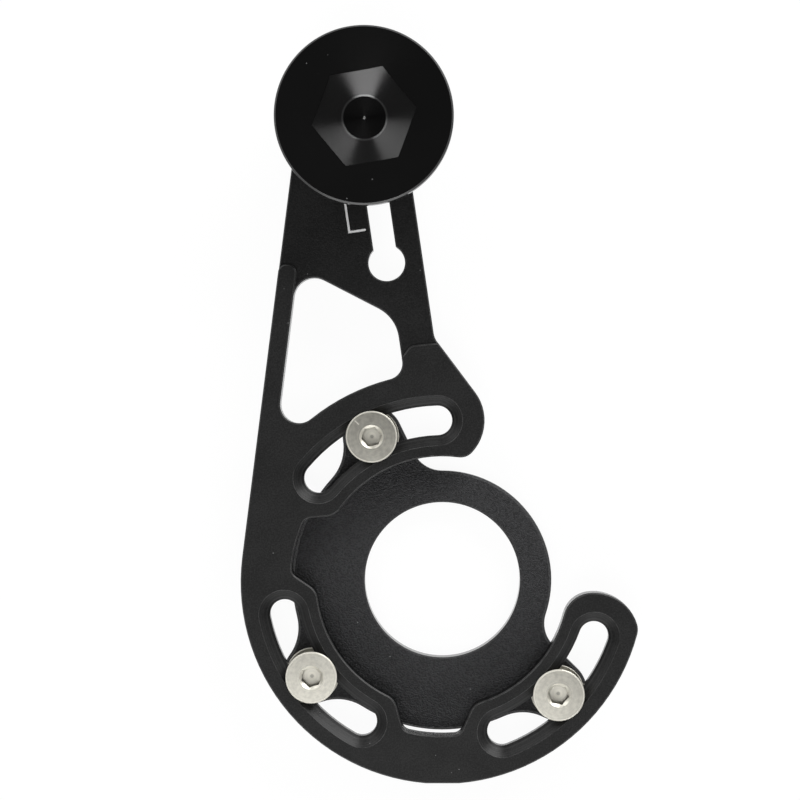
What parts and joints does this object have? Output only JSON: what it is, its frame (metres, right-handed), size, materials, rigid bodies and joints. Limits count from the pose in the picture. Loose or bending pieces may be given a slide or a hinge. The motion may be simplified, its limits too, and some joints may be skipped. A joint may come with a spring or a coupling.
{
  "type": "bicycle chain guide",
  "caption": "Hooked flat plate with bevelled arc slots, bolted to a bottom-bracket adapter ring, with a flanged guide wheel in a keyhole slot up its arm.",
  "frame": {"origin": "centre of the adapter's bore on its rear face, which goes against the bottom-bracket shell", "axes": "+Z along the bore away from the bicycle, +Y up the arm to the guide wheel, +X to the right when looking at the drive side"},
  "size_m": [0.0884, 0.1661, 0.0208],
  "materials": {
    "adapter_black": "black anodised, coarse grain",
    "plate_black": "black anodised, fine blasted",
    "disc_black": "black anodised, smooth satin",
    "hub_black": "black anodised, turned",
    "fastener_steel": "turned stainless"
  },
  "bodies": {
    "adapter": {"bb_adapter": "adapter_black", "mount_bolt_1": "fastener_steel", "mount_bolt_2": "fastener_steel", "mount_bolt_3": "fastener_steel", "spacer_washer_1": "fastener_steel", "spacer_washer_2": "fastener_steel", "spacer_washer_3": "fastener_steel"},
    "plate": {"back_plate": "plate_black"},
    "guide_wheel": {"guide_disc": "disc_black", "guide_hub": "hub_black", "slide_bolt": "fastener_steel"}
  },
  "joints": [
    {"name": "plate_swing", "type": "hinge", "parent": "adapter", "child": "plate", "pos_m": [0, 0, 0], "axis": [0, 0, 1], "range_deg": [-24, 24]},
    {"name": "guide_slide", "type": "slide", "parent": "plate", "child": "guide_wheel", "axis": [-0.1452, 0.9894, 0], "range_m": [-0.0233, 0.006]}
  ]
}
